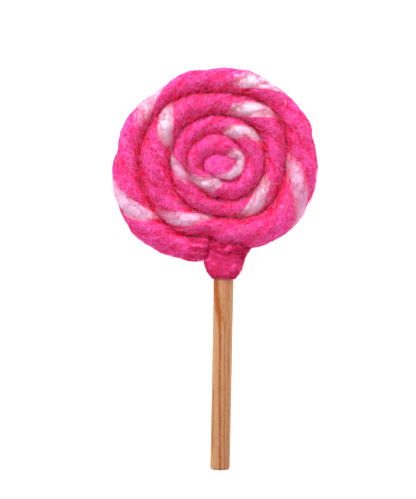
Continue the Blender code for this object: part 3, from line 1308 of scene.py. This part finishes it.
@dataclass
class LooseFibres:
    """Loose wool fibres that lie on a skin.

    Slant is their usual direction, from the skin's first coordinate to its second, and scatter its
    spread. Thickness is half of a fibre's. Lift is how far its middle rises from the skin, clearance
    how far its ends do, curl its strongest bending in radians for each metre, rings how many rings of
    points it has, and lowest its least height over the floor.
    """

    point: SkinPoint
    slant: float
    seed: int
    scatter: float = 0.5
    shortest: float = 3.0 * MM
    longest: float = 7.0 * MM
    thickness: float = 0.04 * MM
    lift: float = 0.35 * MM
    curl: float = 320.0
    clearance: float = 0.05 * MM
    rings: int = 6
    lowest: float = 0.15 * MM

    def trace(self, first: Array, second: Array) -> tuple[Array, Array]:
        """Follows each fibre over the skin.

        Args:
            first: First coordinate of each fibre's start.
            second: Second coordinate of each fibre's start.

        Returns:
            The points along each fibre, and the skin's outward directions there.
        """
        draw = np.random.default_rng(self.seed)
        count = len(first)
        length = draw.uniform(self.shortest, self.longest, count)
        heading = self.slant + draw.normal(0.0, self.scatter, count)
        bend = draw.normal(0.0, self.curl / 2, count)
        rise = self.lift * draw.uniform(0.2, 1.0, count) ** 1.5
        stride = length / (self.rings + 1)
        points = []
        normals = []
        for step in range(self.rings + 2):
            along, around, normal = skin_frame(self.point, first, second)
            height = rise * math.sin(math.pi * step / (self.rings + 1)) + self.clearance
            points.append(self.point(first, second) + normal * height[:, None])
            normals.append(normal)
            first = first + stride * np.cos(heading) / np.maximum(np.linalg.norm(along, axis=-1), 1e-6)
            second = second + stride * np.sin(heading) / np.maximum(np.linalg.norm(around, axis=-1), 1e-6)
            heading = heading + stride * (bend + draw.normal(0.0, self.curl / 3, count))
        return np.stack(points, axis=1), np.stack(normals, axis=1)

    def build(self, name: str, starts: tuple[Array, Array], finish: FibreFinish) -> None:
        """Makes the fibres as one mesh of thin tapered tubes with three sides.

        Args:
            name: The piece's name.
            starts: First and second coordinates of the fibres' starts.
            finish: The fibres' finish.
        """
        points, normals = self.trace(*starts)
        count = len(points)
        tangent = np.gradient(points, axis=1)
        side = unit(np.cross(tangent, normals))
        up = unit(np.cross(side, tangent))
        taper = np.sin(np.linspace(0.15, math.pi - 0.15, self.rings)) ** 0.5
        stout = self.thickness * np.random.default_rng(self.seed + 2).uniform(0.6, 1.5, count)
        taper = stout[:, None, None] * taper[None, :, None]
        middle = slice(1, self.rings + 1)
        corners = []
        for turn in (0.0, math.tau / 3, math.tau * 2 / 3):
            out = math.cos(turn) * up[:, middle] + math.sin(turn) * side[:, middle]
            corners.append(points[:, middle] + out * taper)
        tube = np.stack(corners, axis=2).reshape(count, self.rings * 3, 3)
        vertices = np.concatenate([tube, points[:, :1], points[:, -1:]], axis=1)
        vertices[..., 2] = np.maximum(vertices[..., 2], self.lowest)
        each = vertices.shape[1]
        ring = np.arange(self.rings * 3).reshape(-1, 3)
        after = np.roll(ring, -1, axis=1)
        quads = np.stack([ring[:-1], after[:-1], after[1:], ring[1:]], axis=-1)
        start_tips = np.stack([np.full(3, each - 2), after[0], ring[0]], axis=-1)
        end_tips = np.stack([ring[-1], after[-1], np.full(3, each - 1)], axis=-1)
        tips = np.stack([start_tips, end_tips], axis=1)
        base = (np.arange(count) * each)[:, None, None]
        faces = (base + quads.reshape(-1, 4)).reshape(-1, 4).tolist()
        faces += (base + tips.reshape(-1, 3)).reshape(-1, 3).tolist()
        mesh = bpy.data.meshes.new(name)
        mesh.from_pydata(vertices.reshape(-1, 3).tolist(), [], faces)
        tones = np.random.default_rng(self.seed + 1).uniform(0.0, 1.0, count)
        set_attribute(mesh, "tone", np.repeat(tones, each))
        add_piece(mesh, finish.material(name.replace("_", " ")))


@dataclass
class Fuzz:
    """All the loose fibres of the toy."""

    rope: RopeSkin
    collar: CollarSkin
    fine_count: int = 4800
    bold_count: int = 3200
    pale_count: int = 2800
    stray_count: int = 2600
    end_count: int = 500
    collar_count: int = 1800
    stray_reach: float = 49 * MM
    slant: float = -math.radians(40)
    pink: FibreFinish = FibreFinish(tint(248, 12, 98), tint(246, 110, 204))
    bright: FibreFinish = FibreFinish(tint(248, 66, 168), tint(248, 136, 220))
    dark: FibreFinish = FibreFinish(tint(240, 0, 52), tint(250, 6, 84))
    pale: FibreFinish = FibreFinish(tint(246, 160, 206), tint(250, 232, 240))
    hair: FibreFinish = FibreFinish(tint(244, 0, 74), tint(255, 140, 214))
    red: FibreFinish = FibreFinish(tint(240, 0, 62), tint(252, 92, 176))
    seed: int = 77

    def rope_starts(self, count: int, tone: Tone, draw: np.random.Generator) -> tuple[Array, Array]:
        """Draws places on the rope's upper side.

        Args:
            count: How many.
            tone: Which wool the fibres are of.
            draw: The random generator.

        Returns:
            Turns and angles of the places.
        """
        tried = count * 8
        turn = self.rope.even_turns(draw.uniform(0.005, 0.985, tried))
        angle = draw.uniform(-0.05, 1.05, tried) * math.pi
        angle = np.where(turn > 1.0, np.clip(angle, 0.1 * math.pi, 0.9 * math.pi), angle)
        pale = self.rope.paleness(turn, angle)
        chance = draw.uniform(0.0, 1.0, tried)
        if tone is Tone.PINK:
            keep = (pale < 0.3) | (chance < 0.12)
        else:
            keep = ((pale > 0.0) | (chance < 0.10)) & (turn > 0.05)
        kept = np.flatnonzero(keep)[:count]
        return turn[kept], angle[kept]

    def rope_fibres(self, draw: np.random.Generator) -> None:
        """Makes the fibres that follow the rope's strands.

        Args:
            draw: The random generator.
        """
        fine = LooseFibres(self.rope.point, self.slant, self.seed)
        bold = {"scatter": 0.45, "shortest": 1.5 * MM, "longest": 5 * MM, "thickness": 0.07 * MM,
                "lift": 0.25 * MM, "curl": 420.0}
        bright = LooseFibres(self.rope.point, self.slant, self.seed + 10, **bold)
        dark = LooseFibres(self.rope.point, self.slant, self.seed + 20, **bold)
        pale = LooseFibres(
            self.rope.point, self.slant, self.seed + 40, scatter=0.35, thickness=0.055 * MM
        )
        for name, fibres, count, tone, finish in (
            ("fine_fibres", fine, self.fine_count, Tone.PINK, self.pink),
            ("bright_fibres", bright, self.bold_count, Tone.PINK, self.bright),
            ("dark_fibres", dark, self.bold_count, Tone.PINK, self.dark),
            ("pale_fibres", pale, self.pale_count, Tone.PALE, self.pale),
        ):
            fibres.build(name, self.rope_starts(count, tone, draw), finish)

    def stray_hairs(self, draw: np.random.Generator) -> None:
        """Makes the hairs that lie every way over the coil.

        Args:
            draw: The random generator.
        """
        bearing = draw.uniform(0.0, math.tau, self.stray_count)
        radius = self.stray_reach * np.sqrt(draw.uniform(0.0, 1.0, self.stray_count))
        fibres = LooseFibres(
            CoilCover(self.rope).point, 0.0, self.seed + 45, scatter=3.0, shortest=3 * MM,
            longest=9 * MM, thickness=0.06 * MM, lift=0.5 * MM, curl=520.0,
        )
        fibres.build("stray_hairs", (radius * np.sin(bearing), radius * np.cos(bearing)), self.hair)

    def build(self) -> None:
        """Makes every piece of fuzz."""
        draw = np.random.default_rng(self.seed)
        self.rope_fibres(draw)
        self.stray_hairs(draw)
        turn = self.rope.even_turns(draw.uniform(0.001, 0.018, self.end_count))
        angle = draw.uniform(0.0, 1.0, self.end_count) * math.pi
        fibres = LooseFibres(
            self.rope.point, math.pi, self.seed + 48, thickness=0.06 * MM, lift=0.9 * MM
        )
        fibres.build("end_tuft", (turn, angle), self.red)
        share = draw.uniform(0.1, 0.68, self.collar_count)
        around = draw.uniform(0.0, math.tau, self.collar_count)
        fibres = LooseFibres(
            self.collar.point, math.pi / 2, self.seed + 50, scatter=0.4, thickness=0.06 * MM
        )
        fibres.build("collar_fibres", (share, around), self.red)


@dataclass
class Studio:
    """Floor, light and camera."""

    pixel: float = 0.505 * MM
    picture_width: int = 416
    picture_height: int = 499
    coil_pixel: tuple[float, float] = (222.0, 166.0)
    roll: float = math.radians(1.1)
    lens_mm: float = 150.0
    sensor_mm: float = 36.0
    focus_height: float = 7.5 * MM
    farthest: float = 10.0
    floor_reach: float = 3.0
    ambient: float = 0.69
    warmth: Colour = (1.0, 0.76, 0.84)
    key_power: float = 14.2
    key_size: float = 0.7
    key_place: tuple[float, float, float] = (-0.22, 0.94, 0.62)

    def camera(self) -> None:
        """Puts the camera straight above the toy, where the photograph's frame shows it."""
        data = bpy.data.cameras.new("camera")
        data.lens = self.lens_mm
        data.sensor_width = self.sensor_mm
        data.clip_end = self.farthest
        right = (self.picture_width / 2 - self.coil_pixel[0]) * self.pixel
        up = (self.coil_pixel[1] - self.picture_height / 2) * self.pixel
        away = self.picture_height * self.pixel * self.lens_mm / self.sensor_mm
        place = Vector((right, up, self.focus_height + away))
        camera = placed("camera", data)
        camera.location = Matrix.Rotation(self.roll, 3, "Z") @ place
        camera.rotation_euler = (0.0, 0.0, self.roll)
        bpy.context.scene.camera = camera

    def floor(self) -> None:
        """Lays a wide pale floor under the toy."""
        bm = bmesh.new()
        bmesh.ops.create_grid(bm, x_segments=1, y_segments=1, size=self.floor_reach)
        mesh = as_mesh("floor", bm)
        mesh.materials.append(FloorFinish().material("white board"))
        floor = placed("floor", mesh)

    def lights(self) -> None:
        """Adds a square soft light from the upper left and an even, slightly warm surround."""
        data = bpy.data.lights.new("key", "AREA")
        data.energy = self.key_power
        data.size = self.key_size
        lamp = placed("key", data)
        lamp.location = self.key_place
        lamp.rotation_euler = (-Vector(self.key_place)).to_track_quat("-Z", "Y").to_euler()
        world = bpy.data.worlds.new("studio")
        world.use_nodes = True
        background = world.node_tree.nodes["Background"]
        background.inputs["Color"].default_value = (*self.warmth, 1.0)
        background.inputs["Strength"].default_value = self.ambient
        bpy.context.scene.world = world
        bpy.context.scene.view_settings.view_transform = "Standard"

    def build(self) -> None:
        """Makes the whole studio."""
        self.camera()
        self.floor()
        self.lights()


def write_sizes() -> None:
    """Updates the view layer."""
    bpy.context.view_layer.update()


def main() -> None:
    """Builds the toy and its studio."""
    logging.basicConfig(level=logging.INFO, format="%(message)s")
    Studio().build()
    rope = CoilRope()
    rope.build()
    collar = Collar()
    collar.build()
    Stick().build()
    Fuzz(rope.skin, collar.skin).build()
    write_sizes()


if __name__ == "__main__":
    main()
